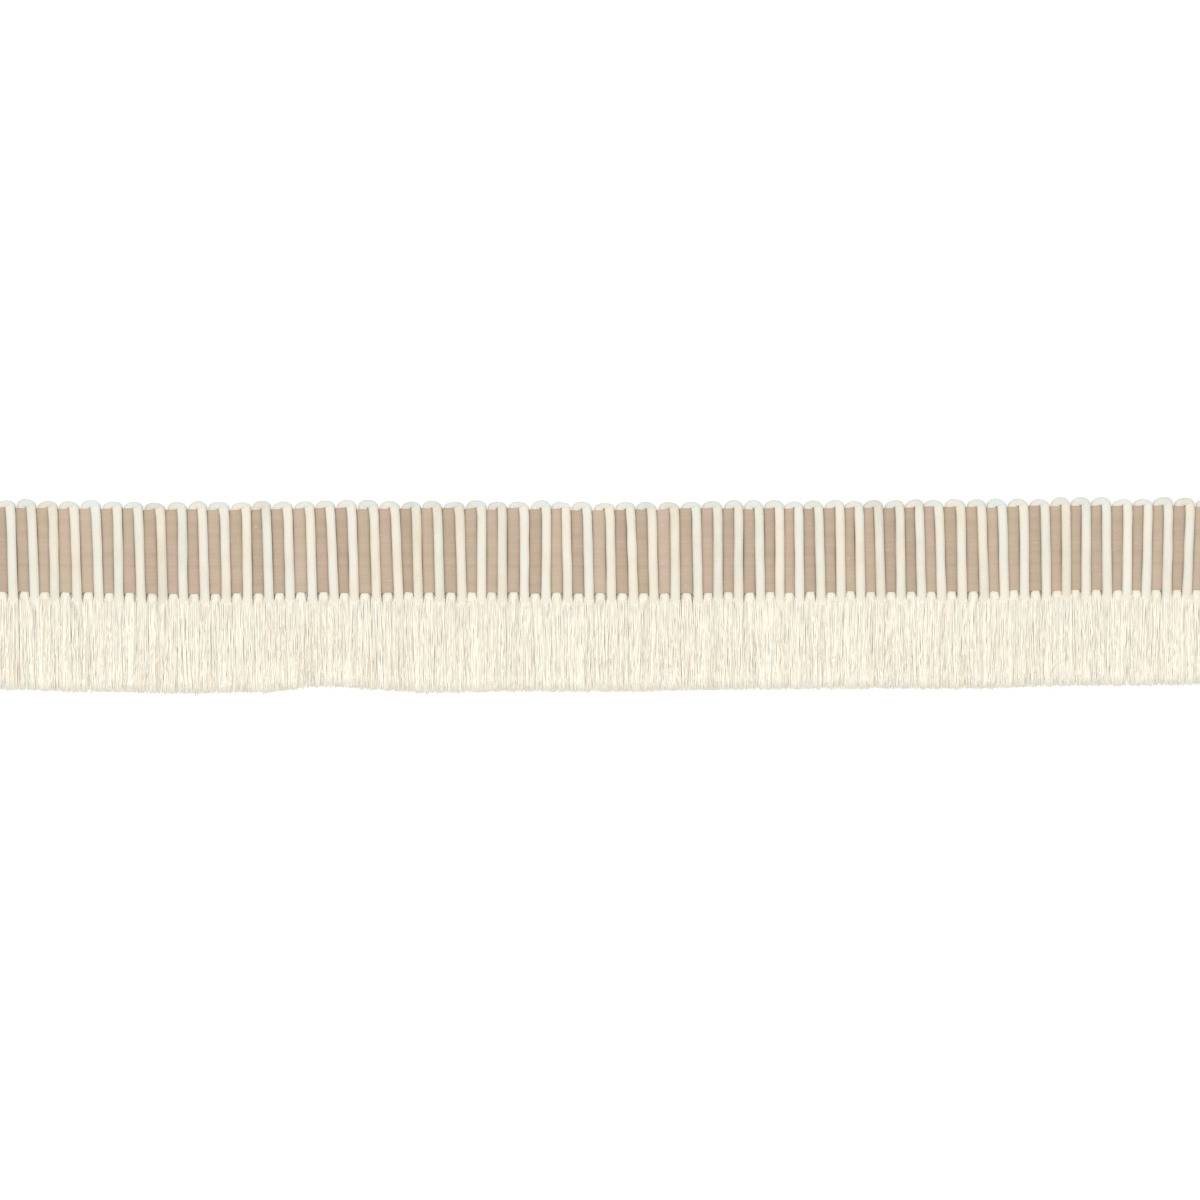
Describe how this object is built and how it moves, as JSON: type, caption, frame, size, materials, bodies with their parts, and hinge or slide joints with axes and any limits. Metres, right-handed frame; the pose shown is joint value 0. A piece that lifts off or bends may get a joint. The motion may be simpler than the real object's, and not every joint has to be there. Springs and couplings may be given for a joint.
{
  "type": "chainette fringe trim",
  "caption": "Cut length of woven fringe trim: a ribbed heading with cord loops over its top edge and a straight cut brush fringe below it.",
  "frame": {"origin": "middle of the heading's flat back", "axes": "+X along the trim, +Y across it towards the looped edge, so that the fringe points to -Y, +Z out of its front face"},
  "size_m": [0.321, 0.0515, 0.0026],
  "materials": {
    "taupe_warp": "matte cotton warp, closely packed",
    "ivory_cord": "soft matte chainette cord",
    "ivory_fringe": "soft cut yarn ends"
  },
  "bodies": {
    "root": {"heading": "taupe_warp", "cord_01": "ivory_cord", "cord_02": "ivory_cord", "cord_03": "ivory_cord", "cord_04": "ivory_cord", "cord_05": "ivory_cord", "cord_06": "ivory_cord", "cord_07": "ivory_cord", "cord_08": "ivory_cord", "cord_09": "ivory_cord", "cord_10": "ivory_cord", "cord_11": "ivory_cord", "cord_12": "ivory_cord", "cord_13": "ivory_cord", "cord_14": "ivory_cord", "cord_15": "ivory_cord", "cord_16": "ivory_cord", "cord_17": "ivory_cord", "cord_18": "ivory_cord", "cord_19": "ivory_cord", "cord_20": "ivory_cord", "cord_21": "ivory_cord", "cord_22": "ivory_cord", "cord_23": "ivory_cord", "cord_24": "ivory_cord", "cord_25": "ivory_cord", "cord_26": "ivory_cord", "cord_27": "ivory_cord", "cord_28": "ivory_cord", "cord_29": "ivory_cord", "cord_30": "ivory_cord", "cord_31": "ivory_cord", "cord_32": "ivory_cord", "cord_33": "ivory_cord", "cord_34": "ivory_cord", "cord_35": "ivory_cord", "cord_36": "ivory_cord", "cord_37": "ivory_cord", "cord_38": "ivory_cord", "cord_39": "ivory_cord", "cord_40": "ivory_cord", "cord_41": "ivory_cord", "cord_42": "ivory_cord", "cord_43": "ivory_cord", "cord_44": "ivory_cord", "cord_45": "ivory_cord", "cord_46": "ivory_cord", "cord_47": "ivory_cord", "cord_48": "ivory_cord", "cord_49": "ivory_cord", "cord_50": "ivory_cord", "cord_51": "ivory_cord", "cord_52": "ivory_cord", "cord_53": "ivory_cord", "cord_54": "ivory_cord", "cord_55": "ivory_cord", "cord_56": "ivory_cord", "cord_57": "ivory_cord", "cord_58": "ivory_cord", "fringe": "ivory_fringe"}
  },
  "joints": []
}
